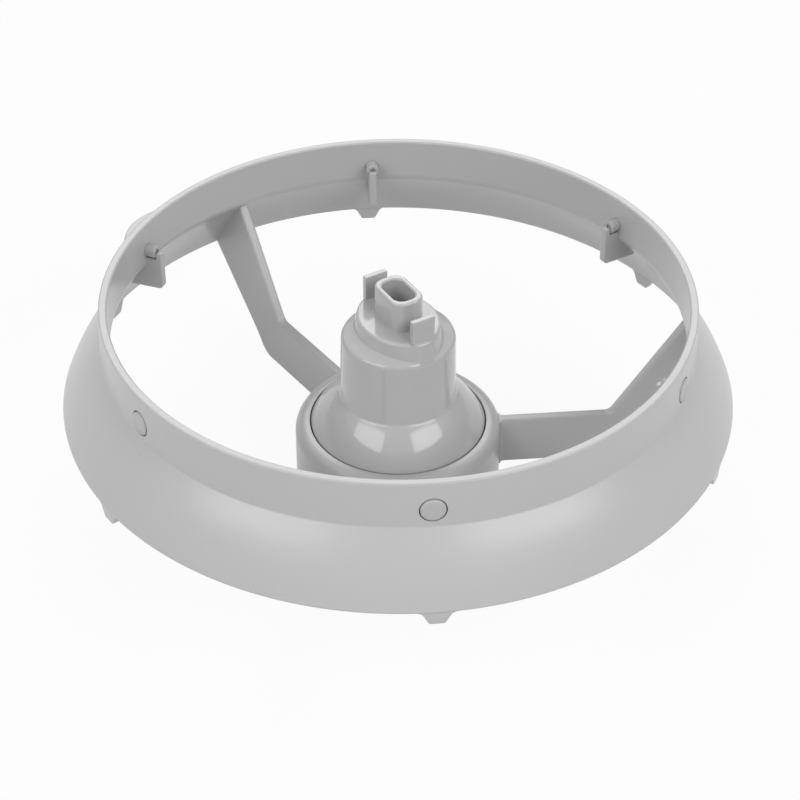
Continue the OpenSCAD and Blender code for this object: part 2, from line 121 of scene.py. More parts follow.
class Outline:
    """A pen that draws an outline in the XZ plane with bmesh operators."""

    def __init__(self, x: float, z: float) -> None:
        """Puts the pen down at a point."""
        self.form: BMesh = bmesh.new()
        self.first: BMVert = bmesh.ops.create_vert(self.form, co=(x, 0.0, z))["vert"][0]
        self.tip: BMVert = self.first

    def line(self, *points: tuple[float, float]) -> "Outline":
        """Draws straight lines.

        Args:
            points: The points to go to, each as x and z.

        Returns:
            The pen.
        """
        for x, z in points:
            if (Vector((x, 0.0, z)) - self.tip.co).length < 1e-6:
                continue
            self.tip = bmesh.ops.extrude_vert_indiv(self.form, verts=[self.tip])["verts"][0]
            self.tip.co = (x, 0.0, z)
        return self

    def arc(self, centre: tuple[float, float], end: tuple[float, float], steps: int = 6) -> "Outline":
        """Draws an arc, the shorter way round.

        Args:
            centre: Centre of the arc, as x and z.
            end: Where it ends, as x and z.
            steps: Number of straight pieces.

        Returns:
            The pen.
        """
        start = Vector((self.tip.co.x, self.tip.co.z)) - Vector(centre)
        finish = Vector(end) - Vector(centre)
        turn = math.atan2(start.x * finish.y - start.y * finish.x, start.dot(finish))
        made = bmesh.ops.spin(
            self.form, geom=[self.tip], cent=(centre[0], 0.0, centre[1]), axis=(0.0, -1.0, 0.0),
            angle=turn, steps=steps, use_duplicate=False,
        )
        self.tip = next(part for part in made["geom_last"] if isinstance(part, BMVert))
        return self

    def round(
        self, corner: tuple[float, float], onward: tuple[float, float], radius: float, steps: int = 5
    ) -> "Outline":
        """Draws towards a corner and rounds it in the direction of the next point.

        Args:
            corner: The corner, as x and z.
            onward: The point that the outline goes on to.
            radius: Radius of the rounding.
            steps: Number of straight pieces in the rounding.

        Returns:
            The pen.
        """
        at = Vector(corner)
        back = (Vector((self.tip.co.x, self.tip.co.z)) - at).normalized()
        ahead = (Vector(onward) - at).normalized()
        half = math.acos(max(-1.0, min(1.0, back.dot(ahead)))) / 2
        reach = radius / math.tan(half)
        centre = at + (back + ahead).normalized() * radius / math.sin(half)
        self.line(tuple(at + back * reach))
        return self.arc(tuple(centre), tuple(at + ahead * reach), steps)

    @staticmethod
    def polygon(*corners: tuple[float, ...], steps: int = 5) -> "Outline":
        """Draws a closed outline.

        Args:
            corners: The corners, each as x, z and, where it is rounded, a radius.
            steps: Number of straight pieces in a rounding.

        Returns:
            The pen.
        """
        last, first = corners[-1], corners[0]
        pen = Outline((last[0] + first[0]) / 2, (last[1] + first[1]) / 2)
        for index, corner in enumerate(corners):
            onward = corners[(index + 1) % len(corners)]
            if len(corner) == 3:
                pen.round(corner[:2], onward[:2], corner[2], steps)
            else:
                pen.line(corner[:2])
        return pen.close()

    def close(self) -> "Outline":
        """Joins the pen's point to the first one."""
        if (self.tip.co - self.first.co).length > 1e-6:
            bmesh.ops.contextual_create(self.form, geom=[self.tip, self.first])
        bmesh.ops.remove_doubles(self.form, verts=self.form.verts[:], dist=1e-5)
        return self

    def revolved(self, steps: int, angle: float = math.tau) -> BMesh:
        """Turns the outline about the Z axis.

        Args:
            steps: Number of steps round the axis.
            angle: How far it turns, in radians. Less than a full turn gets closed ends.

        Returns:
            The closed form.
        """
        full = angle >= math.tau
        if not full:
            bmesh.ops.contextual_create(self.form, geom=self.form.edges[:])
        bmesh.ops.spin(
            self.form, geom=self.form.verts[:] + self.form.edges[:] + self.form.faces[:],
            cent=(0.0, 0.0, 0.0), axis=Z_AXIS, angle=angle, steps=steps, use_merge=full, use_duplicate=False,
        )
        return sealed(self.form)

    def plate(self, thickness: float) -> BMesh:
        """Fills the outline and gives it a thickness, half on each side of the XZ plane."""
        bmesh.ops.contextual_create(self.form, geom=self.form.edges[:])
        bmesh.ops.translate(self.form, verts=self.form.verts[:], vec=(0.0, -thickness / 2, 0.0))
        extruded(self.form, self.form.faces[:], Vector((0.0, thickness, 0.0)))
        return sealed(self.form)


def sealed(form: BMesh) -> BMesh:
    """Merges a form's doubles and turns its faces outward."""
    bmesh.ops.remove_doubles(form, verts=form.verts[:], dist=1e-5)
    bmesh.ops.recalc_face_normals(form, faces=form.faces[:])
    return form


def extruded(form: BMesh, faces: Sequence[BMFace], way: Vector) -> list[BMFace]:
    """Extrudes faces as one region. Faces that end up inside the form are taken out.

    Args:
        form: The mesh.
        faces: The faces to extrude.
        way: How far and where to.

    Returns:
        The faces at the new end.
    """
    inside = bordered(faces)
    made = bmesh.ops.extrude_face_region(form, geom=list(faces))["geom"]
    bmesh.ops.translate(form, verts=[part for part in made if isinstance(part, BMVert)], vec=way)
    bmesh.ops.delete(form, geom=inside, context="FACES_ONLY")
    return [part for part in made if isinstance(part, BMFace)]


def bordered(faces: Sequence[BMFace]) -> list[BMFace]:
    """Finds the faces that have another face at every edge."""
    return [face for face in faces if all(len(edge.link_faces) > 1 for edge in face.edges)]


def turned(form: BMesh, degrees: float, axis: str = "Z") -> BMesh:
    """Copies a form and turns the copy about one of the axes."""
    copy = form.copy()
    bmesh.ops.rotate(
        copy, verts=copy.verts[:], cent=(0.0, 0.0, 0.0), matrix=Matrix.Rotation(math.radians(degrees), 3, axis)
    )
    return copy


def moved(form: BMesh, x: float = 0.0, y: float = 0.0, z: float = 0.0) -> BMesh:
    """Moves a form and returns it."""
    bmesh.ops.translate(form, verts=form.verts[:], vec=(x, y, z))
    return form


def eased(form: BMesh, width: float, segments: int, sharper_than: float = 40.0) -> BMesh:
    """Bevels a form's sharp edges.

    Args:
        form: The mesh.
        width: Width of the bevel along each face.
        segments: Number of strips in the bevel.
        sharper_than: Least angle between an edge's faces, in degrees.

    Returns:
        The same mesh.
    """
    limit = math.radians(sharper_than)
    edges = [edge for edge in form.edges if len(edge.link_faces) == 2 and edge.calc_face_angle() > limit]
    bmesh.ops.bevel(
        form, geom=edges, offset=width, offset_type="OFFSET", segments=segments, profile=0.5,
        affect="EDGES", material=-1, clamp_overlap=True,
    )
    return form


def combined(base: BMesh, others: Iterable[BMesh], how: Union) -> BMesh:
    """Joins, cuts or intersects closed forms with one exact Boolean.

    Args:
        base: The first form. It is freed.
        others: The forms that it is joined to, cut by or kept inside of. They are freed.
        how: What the Boolean does.

    Returns:
        A new form.
    """
    holder = bpy.data.collections.new("forms")
    bpy.context.scene.collection.children.link(holder)
    objects = []
    for index, form in enumerate([base, *others]):
        mesh = bpy.data.meshes.new(f"form_{index}")
        form.to_mesh(mesh)
        form.free()
        objects.append(bpy.data.objects.new(f"form_{index}", mesh))
    bpy.context.scene.collection.objects.link(objects[0])
    for thing in objects[1:]:
        holder.objects.link(thing)
    change = objects[0].modifiers.new("combine", "BOOLEAN")
    change.operation = how.value
    change.solver = "EXACT"
    change.operand_type = "COLLECTION"
    change.collection = holder
    ready = objects[0].evaluated_get(bpy.context.evaluated_depsgraph_get())
    result = bmesh.new()
    result.from_mesh(ready.to_mesh())
    ready.to_mesh_clear()
    for thing in objects:
        bpy.data.meshes.remove(thing.data)
    bpy.data.collections.remove(holder)
    return result


def piece(form: BMesh, name: str, body: Body, finish: Material, crease: float = 28.0) -> Object:
    """Makes a finished piece of a form and lets it stand for its CAD node.

    Args:
        form: The mesh in millimetres. It is freed.
        name: Name of the CAD node that it replaces.
        body: The body that it moves with.
        finish: The material.
        crease: Angle in degrees past which an edge stays sharp.

    Returns:
        The piece.
    """
    bmesh.ops.remove_doubles(form, verts=form.verts[:], dist=2e-4)
    bmesh.ops.dissolve_degenerate(form, edges=form.edges[:], dist=2e-4)
    bmesh.ops.scale(form, vec=(MM, MM, MM), verts=form.verts[:])
    for face in form.faces:
        face.smooth = True
    mesh = bpy.data.meshes.new(f"{name}_look")
    form.to_mesh(mesh)
    form.free()
    mesh.set_sharp_from_angle(angle=math.radians(crease))
    mesh.materials.append(finish)
    made = bpy.data.objects.new(f"{name}_look", mesh)
    bpy.context.scene.collection.objects.link(made)
    even = made.modifiers.new("even_shading", "WEIGHTED_NORMAL")
    even.mode = "FACE_AREA"
    even.keep_sharp = True
    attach(made, body.value)
    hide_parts(name)
    log.info("%s: %d faces, rides on %s", made.name, len(mesh.polygons), body.value)
    return made


# Finishes


class Value:
    """A shader socket that works in Python expressions, each of which adds Math nodes."""

    def __init__(self, graph: "Graph", socket: NodeSocket) -> None:
        """Wraps an output socket of a graph."""
        self.graph = graph
        self.socket = socket

    def __add__(self, other: "Value | float") -> "Value":
        """Adds."""
        return self.graph.maths("ADD", self, other)

    def __sub__(self, other: "Value | float") -> "Value":
        """Takes away."""
        return self.graph.maths("SUBTRACT", self, other)

    def __rsub__(self, other: float) -> "Value":
        """Is taken away from a number."""
        return self.graph.maths("SUBTRACT", other, self)

    def __mul__(self, other: "Value | float") -> "Value":
        """Multiplies."""
        return self.graph.maths("MULTIPLY", self, other)

    __radd__ = __add__
    __rmul__ = __mul__


class Graph:
    """The node tree of one material or world."""

    def __init__(self, owner: "Material | bpy.types.World") -> None:
        """Empties the owner's node tree."""
        owner.use_nodes = True
        self.tree = owner.node_tree
        self.tree.nodes.clear()

    def node(self, kind: str, settings: dict | None = None, inputs: dict | None = None) -> Node:
        """Adds a node.

        Args:
            kind: Type of the node.
            settings: Its own settings, which are set first.
            inputs: A value, a Value or a socket for each input, by name or number.

        Returns:
            The node.
        """
        made = self.tree.nodes.new(kind)
        for key, setting in (settings or {}).items():
            setattr(made, key, setting)
        for key, value in (inputs or {}).items():
            source = value.socket if isinstance(value, Value) else value
            if isinstance(source, NodeSocket):
                self.tree.links.new(source, made.inputs[key])
            else:
                made.inputs[key].default_value = source
        return made

    def maths(self, operation: str, *numbers: "Value | float") -> Value:
        """Adds a Math node and returns its result."""
        inputs = dict(enumerate(numbers))
        return Value(self, self.node("ShaderNodeMath", {"operation": operation}, inputs).outputs[0])

    def place(self, scale: tuple[float, float, float] = (1.0, 1.0, 1.0)) -> NodeSocket:
        """Gives the place on the object, stretched along its axes."""
        where = self.node("ShaderNodeTexCoord").outputs["Object"]
        return self.node("ShaderNodeMapping", inputs={"Vector": where, "Scale": scale}).outputs[0]

    def noise(self, where: NodeSocket, size: float, detail: float = 2.0) -> Value:
        """Adds a noise pattern.

        Args:
            where: The place that it is read at.
            size: Size of its patches in millimetres.
            detail: Number of finer layers.

        Returns:
            The pattern, about 0.5 on average.
        """
        inputs = {"Vector": where, "Scale": 1 / (size * MM), "Detail": detail}
        return Value(self, self.node("ShaderNodeTexNoise", inputs=inputs).outputs[0])

    def grey(self, level: Value) -> NodeSocket:
        """Makes a neutral colour of a level."""
        inputs = {"Red": level, "Green": level, "Blue": level}
        return self.node("ShaderNodeCombineColor", inputs=inputs).outputs[0]

    def bare_rays(self) -> Value:
        """Is one for what the camera, a reflection or a refraction sees, and none for light."""
        path = self.node("ShaderNodeLightPath").outputs
        seen = Value(self, path["Is Camera Ray"]) + Value(self, path["Is Glossy Ray"])
        return self.maths("MINIMUM", seen + Value(self, path["Is Transmission Ray"]), 1.0)

    def finish(self, shader: Node, kind: str = "ShaderNodeOutputMaterial") -> None:
        """Sends a shader to the output."""
        self.node(kind, inputs={"Surface": shader.outputs[0]})


@dataclass(frozen=True)
class MouldedPlastic:
    """Moulded grey plastic with a faint grain and softly rounded edges."""

    name: str
    grey: float
    roughness: float
    grain: float
    grain_size: float = 0.35
    mottle: float = 0.02
    edge: float = 0.35
    tint: tuple[float, float, float] = (1.0, 1.0, 1.0)

    def material(self) -> Material:
        """Builds the material."""
        made = bpy.data.materials.new(self.name)
        graph = Graph(made)
        where = graph.place()
        clouds = graph.noise(where, 28.0, 3.0)
        streaks = graph.noise(graph.place((1.0, 1.0, 0.25)), 6.0, 2.0)
        level = (clouds - 0.5) * self.mottle + (streaks - 0.5) * (self.mottle / 2) + 1.0
        colour = graph.node(
            "ShaderNodeMix", {"data_type": "RGBA", "blend_type": "MULTIPLY"},
            {0: 1.0, 6: graph.grey(level * self.grey), 7: (*self.tint, 1.0)},
        ).outputs[2]
        sheen = (clouds - 0.5) * 0.08 + (streaks - 0.5) * 0.06 + self.roughness
        soft = graph.node("ShaderNodeBevel", {"samples": 6}, {"Radius": self.edge * MM}).outputs[0]
        grain = graph.noise(where, self.grain_size, 2.0)
        bump = graph.node(
            "ShaderNodeBump", inputs={"Strength": 1.0, "Distance": self.grain * MM, "Height": grain, "Normal": soft}
        )
        graph.finish(graph.node("ShaderNodeBsdfPrincipled", inputs={
            "Base Color": colour, "Roughness": sheen, "IOR": 1.49, "Normal": bump.outputs[0],
        }))
        return made


@dataclass(frozen=True)
class TurnedSteel:
    """Steel with fine marks that run round the axis."""

    name: str
    grey: float
    roughness: float

    def material(self) -> Material:
        """Builds the material."""
        made = bpy.data.materials.new(self.name)
        graph = Graph(made)
        where = graph.node("ShaderNodeTexCoord").outputs["Object"]
        parts = graph.node("ShaderNodeSeparateXYZ", inputs={0: where}).outputs
        across = Value(graph, parts[0])
        along = Value(graph, parts[1])
        radius = graph.maths("SQRT", across * across + along * along)
        rings = graph.node("ShaderNodeCombineXYZ", inputs={0: radius, 2: Value(graph, parts[2])}).outputs[0]
        marks = graph.noise(rings, 0.12, 3.0)
        bump = graph.node("ShaderNodeBump", inputs={"Distance": 0.004 * MM, "Height": marks})
        graph.finish(graph.node("ShaderNodeBsdfPrincipled", inputs={
            "Base Color": graph.grey((marks - 0.5) * 0.12 + self.grey),
            "Roughness": (marks - 0.5) * 0.15 + self.roughness,
            "Metallic": 1.0, "Normal": bump.outputs[0],
        }))
        return made


RING_PLASTIC = MouldedPlastic("ring_plastic_look", grey=0.45, roughness=0.3, grain=0.005)
PIN_PLASTIC = MouldedPlastic("pin_plastic_look", grey=0.42, roughness=0.33, grain=0.005, edge=0.2)
COUPLING_PLASTIC = MouldedPlastic("coupling_plastic_look", grey=0.44, roughness=0.11, grain=0.001, edge=0.3)
BUSH_PLASTIC = MouldedPlastic(
    "bush_plastic_look", grey=0.76, roughness=0.36, grain=0.003, edge=0.15, tint=(1.0, 0.97, 0.9)
)
WASHER_STEEL = TurnedSteel("washer_steel_look", grey=0.55, roughness=0.3)
CLIP_STEEL = TurnedSteel("clip_steel_look", grey=0.5, roughness=0.34)


# The ring


@dataclass
class CarrierRing:
    """The ring's one moulding: band, skirt, teeth, fins, key, arms and hub."""

    band_r: float = 84.0
    wall: float = 2.4
    rim_z: float = 67.7
    rim_chamfer: float = 0.4
    rim_round: float = 0.5
    skirt_top_z: float = 54.7
    foot_z: float = 35.3
    foot_r: float = 96.8
    skirt_bulge: float = 1.35
    flare_z: float = 54.1
    flare_round: float = 0.8
    crease_z: float = 54.4
    crease_round: float = 4.0
    foot_round: float = 0.5
    stations: int = 6
    first_station: float = -90.0
    key_station: int = 4
    steps: int = 288

    tooth_tip_z: float = 31.5
    tooth_base: float = 8.1
    tooth_tip: float = 4.2
    tooth_t: float = 1.8
    tooth_inset: float = 0.5
    tooth_root_round: float = 2.0
    tooth_tip_round: float = 1.0

    fin_r: float = 76.7
    fin_t: float = 2.2
    fin_foot_z: float = 47.0
    fin_foot_drop: float = 1.0
    fin_round: float = 1.5
    horn_w: float = 1.6
    saddle_z: float = 57.0
    pin_z: float = 59.3
    seat_r: float = 3.65
    seat_floor_r: float = 82.8
    hole_r: float = 1.97

    key_r: float = 17.0
    key_out: float = 2.2
    key_drop: float = 0.3
    key_round: float = 0.6

    arms: int = 3
    arm_half_top: float = 1.5
    arm_draft: float = 9.0
    arm_top_z: float = 20.1
    arm_low_z: float = 6.5
    arm_start: float = 28.25
    arm_bend_x: float = 63.3
    arm_root_drop: float = 2.6
    arm_turn: float = -0.55
    arm_bend_round: float = 2.5
    arm_heel_x: float = 67.6
    arm_heel_round: float = 8.0
    arm_edge_round: float = 0.9
    arm_depth: float = 33.0
    arm_fillet: float = 1.2

    hub_r: float = 30.3
    hub_h: float = 22.1
    hub_round: float = 3.4
    cup_r: float = 25.95
    recess_z: float = 4.4
    floor_z: float = 6.9
    tube_r: float = 12.02
    tube_in_r: float = 9.52
    tube_top_z: float = 17.4
    hub_steps: int = 160

    edge: float = 0.5
    embed: float = 0.5
    skirt: Arc = field(init=False)

    def __post_init__(self) -> None:
        """Works out the arc of the skirt's outer face."""
        top = (self.band_r, self.skirt_top_z)
        self.skirt = Arc.bulging(top, (self.foot_r, self.foot_z), self.skirt_bulge)

    def wall_ring(self) -> BMesh:
        """Turns the section of band and skirt about the axis."""
        outer, in_r = self.skirt, self.band_r - self.wall
        low = self.foot_z + self.foot_round
        inner = Arc.bulging((in_r, self.crease_z), outer.inside(self.wall).at_z(low), self.skirt_bulge)
        flare, below = outer.at_z(self.flare_z), outer.at_z(self.flare_z - self.flare_round)
        outer_foot, inner_foot = outer.at_z(low, -self.foot_round), inner.at_z(low, self.foot_round)
        pen = Outline(in_r + self.rim_chamfer, self.rim_z)
        pen.round((self.band_r, self.rim_z), flare, self.rim_round)
        pen.round(flare, below, self.flare_round).line(below)
        pen.arc((outer.x, outer.z), outer.towards(outer_foot), 20)
        pen.arc(outer_foot, (outer_foot[0], self.foot_z))
        pen.line((inner_foot[0], self.foot_z)).arc(inner_foot, inner.towards(inner_foot))
        pen.arc((inner.x, inner.z), inner.at_z(self.crease_z - self.crease_round / 2), 20)
        pen.round((in_r, self.crease_z), (in_r, self.rim_z), self.crease_round, 8)
        pen.line((in_r, self.rim_z - self.rim_chamfer)).close()
        return pen.revolved(self.steps)

    def wall_core(self) -> BMesh:
        """Makes everything inside the middle of the wall, which the key is cut by."""
        middle = self.skirt.inside(self.wall / 2)
        low_z = self.foot_z - self.embed
        r = self.band_r - self.wall / 2
        top = middle.at_x(r)
        pen = Outline(0.0, low_z).line(middle.at_z(low_z))
        pen.arc((middle.x, middle.z), top, 20).line((r, self.rim_z + 1), (0.0, self.rim_z + 1))
        return pen.revolved(self.steps)

    def tooth(self) -> BMesh:
        """Makes one locating tooth, on the X axis."""
        root_z = self.foot_z + self.embed
        side = self.tooth_base / 2 + 0.62 * self.tooth_root_round
        face = Outline.polygon(
            (-side, root_z), (-side, self.foot_z),
            (-self.tooth_base / 2, self.foot_z, self.tooth_root_round),
            (-self.tooth_tip / 2, self.tooth_tip_z, self.tooth_tip_round),
            (self.tooth_tip / 2, self.tooth_tip_z, self.tooth_tip_round),
            (self.tooth_base / 2, self.foot_z, self.tooth_root_round),
            (side, self.foot_z), (side, root_z), steps=7,
        ).plate(40.0)
        out_r = self.foot_r - self.tooth_inset
        shell = Outline.polygon(
            (out_r, root_z), (out_r, self.tooth_tip_z - 1),
            (out_r - self.tooth_t, self.tooth_tip_z - 1), (out_r - self.tooth_t, root_z),
        ).revolved(self.steps)
        return combined(moved(turned(face, 90.0), x=self.foot_r), [shell], Union.KEEP_SHARED)

    def fin(self) -> BMesh:
        """Makes one upright fin with its horn, on the X axis."""
        middle = self.skirt.inside(self.wall / 2)
        mid_r = self.band_r - self.wall / 2
        horn_r = self.fin_r + self.horn_w
        plate = Outline.polygon(
            (self.fin_r, self.fin_foot_z, self.fin_round),
            (self.fin_r, self.pin_z, self.horn_w / 4), (horn_r, self.pin_z, self.horn_w / 4),
            (horn_r, self.saddle_z), (mid_r, self.saddle_z), (mid_r, self.skirt_top_z - self.wall / 2),
            middle.at_z(self.fin_foot_z - self.fin_foot_drop),
        ).plate(self.fin_t)
        return eased(plate, 0.2, 2)

    def pin_hole(self) -> BMesh:
        """Makes the stepped cutter for a pin's hole, on the X axis."""
        inner = self.band_r - self.wall - 1
        cutter = Outline(0.0, inner).line(
            (self.hole_r, inner), (self.hole_r, self.seat_floor_r), (self.seat_r, self.seat_floor_r),
            (self.seat_r, self.foot_r), (0.0, self.foot_r),
        ).revolved(64)
        return moved(turned(cutter, 90.0, "Y"), z=self.pin_z)

    def key(self) -> BMesh:
        """Makes the shallow locating key, at its station."""
        top_z = self.rim_z - self.key_drop
        lobe = Outline(0.0, self.foot_z).line((self.key_r, self.foot_z))
        lobe.round((self.key_r, top_z), (0.0, top_z), self.key_round).line((0.0, top_z))
        solid = moved(lobe.revolved(144), x=self.band_r + self.key_out - self.key_r)
        return combined(turned(solid, self.station(self.key_station)), [self.wall_core()], Union.CUT)

    def arm(self) -> BMesh:
        """Carries the drafted section out from the hub, round the bend and up to the skirt."""
        root = self.skirt.inside(self.wall).at_z(self.skirt_top_z - self.arm_root_drop)
        rise = math.atan2(root[1] - self.arm_top_z, root[0] - self.arm_bend_x)
        bend_x = self.arm_bend_x - self.arm_bend_round * math.tan(rise / 2)
        half_low = self.arm_half_top + self.arm_depth * math.tan(math.radians(self.arm_draft))
        section = Outline.polygon(
            (-half_low, -self.arm_depth), (half_low, -self.arm_depth),
            (self.arm_half_top, 0.0, self.arm_edge_round), (-self.arm_half_top, 0.0, self.arm_edge_round),
        ).form
        bmesh.ops.contextual_create(section, geom=section.edges[:])
        form = moved(turned(section, 90.0), x=self.arm_start, z=self.arm_top_z)
        ends = form.faces[:]
        self.spread(ends, self.arm_fillet)
        reached, spread = self.arm_start, self.arm_fillet
        for step in range(7):
            angle = math.radians(15 * step)
            x = self.hub_r + self.arm_fillet * (1 - math.cos(angle))
            ends = extruded(form, ends, Vector((x - reached, 0.0, 0.0)))
            left = self.arm_fillet * (1 - math.sin(angle))
            self.spread(ends, left - spread)
            reached, spread = x, left
        ends = extruded(form, ends, Vector((bend_x - reached, 0.0, 0.0)))
        made = bmesh.ops.spin(
            form, geom=ends, cent=(bend_x, 0.0, self.arm_top_z + self.arm_bend_round), axis=(0.0, -1.0, 0.0),
            angle=rise, steps=8, use_duplicate=False,
        )
        bmesh.ops.delete(form, geom=ends, context="FACES_ONLY")
        ends = [part for part in made["geom_last"] if isinstance(part, BMFace)]
        run = (root[0] - self.arm_bend_x) * math.cos(rise) + (self.rim_z - self.arm_top_z) * math.sin(rise)
        extruded(form, ends, Vector((math.cos(rise), 0.0, math.sin(rise))) * run)
        return combined(sealed(form), [self.arm_side()], Union.KEEP_SHARED)

    @staticmethod
    def spread(ends: Sequence[BMFace], width: float) -> None:
        """Widens an arm's end section by a width to each side."""
        for corner in {corner for end in ends for corner in end.verts}:
            corner.co.y += width * math.copysign(1.0, corner.co.y)

    def arm_side(self) -> BMesh:
        """Makes the side view of an arm, which its swept section is kept inside of."""
        middle = self.skirt.inside(self.wall / 2)
        foot = middle.at_z(self.foot_z + self.wall / 2)
        top = middle.at_z(self.skirt_top_z)
        pen = Outline(self.arm_start, self.arm_low_z)
        pen.round((self.arm_heel_x, self.arm_low_z), foot, self.arm_heel_round, 12).line(foot)
        pen.arc((middle.x, middle.z), top, 16).line((self.arm_start, self.skirt_top_z)).close()
        return pen.plate(2 * self.hub_r)

    def hub(self) -> BMesh:
        """Turns the section of the hub, its floor and its bearing tube."""
        pen = Outline.polygon(
            (self.hub_r, 0.0, self.edge), (self.hub_r, self.hub_h, self.hub_round),
            (self.cup_r, self.hub_h, self.edge / 2), (self.cup_r, self.floor_z, 1.0),
            (self.tube_r, self.floor_z, 1.0), (self.tube_r, self.tube_top_z, self.edge / 2),
            (self.tube_in_r, self.tube_top_z), (self.tube_in_r, self.recess_z),
            (self.cup_r, self.recess_z, 1.0), (self.cup_r, 0.0, self.edge / 2), steps=8,
        )
        return pen.revolved(self.hub_steps)

    def station(self, index: int) -> float:
        """Gives the angle of a station in degrees."""
        return self.first_station + index * 360 / self.stations

    def build(self, finish: Material) -> Object:
        """Joins the moulding's forms, cuts the pins' holes and dresses the piece."""
        angles = [self.station(index) for index in range(self.stations)]
        arm, fin, tooth, hole = self.arm(), self.fin(), self.tooth(), self.pin_hole()
        joined = [self.hub(), self.key()]
        joined += [turned(arm, self.arm_turn + index * 360 / self.arms) for index in range(self.arms)]
        joined += [turned(form, angle) for form in (fin, tooth) for angle in angles]
        whole = combined(self.wall_ring(), joined, Union.JOIN)
        whole = combined(whole, [turned(hole, angle) for angle in angles], Union.CUT)
        return piece(whole, "holder_ring", Body.RING, finish)


@dataclass
class RingPins:
    """The six round plugs in the band."""

    ring: CarrierRing
    head_r: float = 3.37
    shank_r: float = 1.95
    face_r: float = 84.8
    gap: float = 0.1
    hollow_r: float = 0.9
    hollow_depth: float = 0.6
    ease: float = 0.3
    head_ease: float = 0.65

    def pin(self) -> BMesh:
        """Turns one stepped pin and lays it along the X axis."""
        inner = self.ring.fin_r + self.ring.horn_w + self.gap
        floor = inner + self.hollow_depth
        seat = self.ring.seat_floor_r
        pen = Outline(0.0, floor).line((self.hollow_r, floor), (self.hollow_r, inner))
        pen.round((self.shank_r, inner), (self.shank_r, seat), self.ease)
        pen.line((self.shank_r, seat), (self.head_r, seat))
        pen.round((self.head_r, self.face_r), (0.0, self.face_r), self.head_ease).line((0.0, self.face_r))
        return moved(turned(pen.revolved(64), 90.0, "Y"), z=self.ring.pin_z)

    def build(self, finish: Material) -> list[Object]:
        """Sets a pin at each station."""
        pin = self.pin()
        return [
            piece(turned(pin, self.ring.station(index)), f"ring_pin_{index + 1}", Body.RING, finish)
            for index in range(self.ring.stations)
        ]


# The coupling and its bearing


@dataclass
class Bearing:
    """The bush, the washer and the clip that hold the coupling in the hub."""

    bush_in_r: float = 8.05
    bush_r: float = 9.5
    flange_r: float = 11.5
    low_z: float = 4.4
    tube_top_z: float = 17.4
    flange_z: float = 18.4
    washer_z: float = 19.2
    clip_in_r: float = 7.05
    clip_r: float = 10.15
    clip_z: float = 3.1
    clip_top_z: float = 4.3
    clip_open: float = 60.0
    ease: float = 0.15

    def bush(self) -> BMesh:
        """Turns the flanged bush."""
        return Outline.polygon(
            (self.bush_in_r, self.low_z), (self.bush_r, self.low_z, self.ease), (self.bush_r, self.tube_top_z),
            (self.flange_r, self.tube_top_z, self.ease), (self.flange_r, self.flange_z, self.ease),
            (self.bush_in_r, self.flange_z, self.ease), steps=3,
        ).revolved(96)

    def washer(self) -> BMesh:
        """Turns the thrust washer."""
        return Outline.polygon(
            (self.bush_in_r, self.flange_z), (self.flange_r, self.flange_z, self.ease),
            (self.flange_r, self.washer_z, self.ease), (self.bush_in_r, self.washer_z), steps=3,
        ).revolved(96)

    def clip(self) -> BMesh:
        """Turns the open clip and eases its edges."""
        pen = Outline.polygon(
            (self.clip_in_r, self.clip_z), (self.clip_r, self.clip_z),
            (self.clip_r, self.clip_top_z), (self.clip_in_r, self.clip_top_z),
        )
        form = pen.revolved(80, math.radians(360 - self.clip_open))
        return eased(turned(form, self.clip_open / 2), self.ease, 2)

    def build(self, bush: Material, washer: Material, clip: Material) -> list[Object]:
        """Makes the three pieces."""
        return [
            piece(self.bush(), "hub_bush", Body.RING, bush),
            piece(self.washer(), "thrust_washer", Body.COUPLING, washer),
            piece(self.clip(), "retaining_clip", Body.COUPLING, clip),
        ]


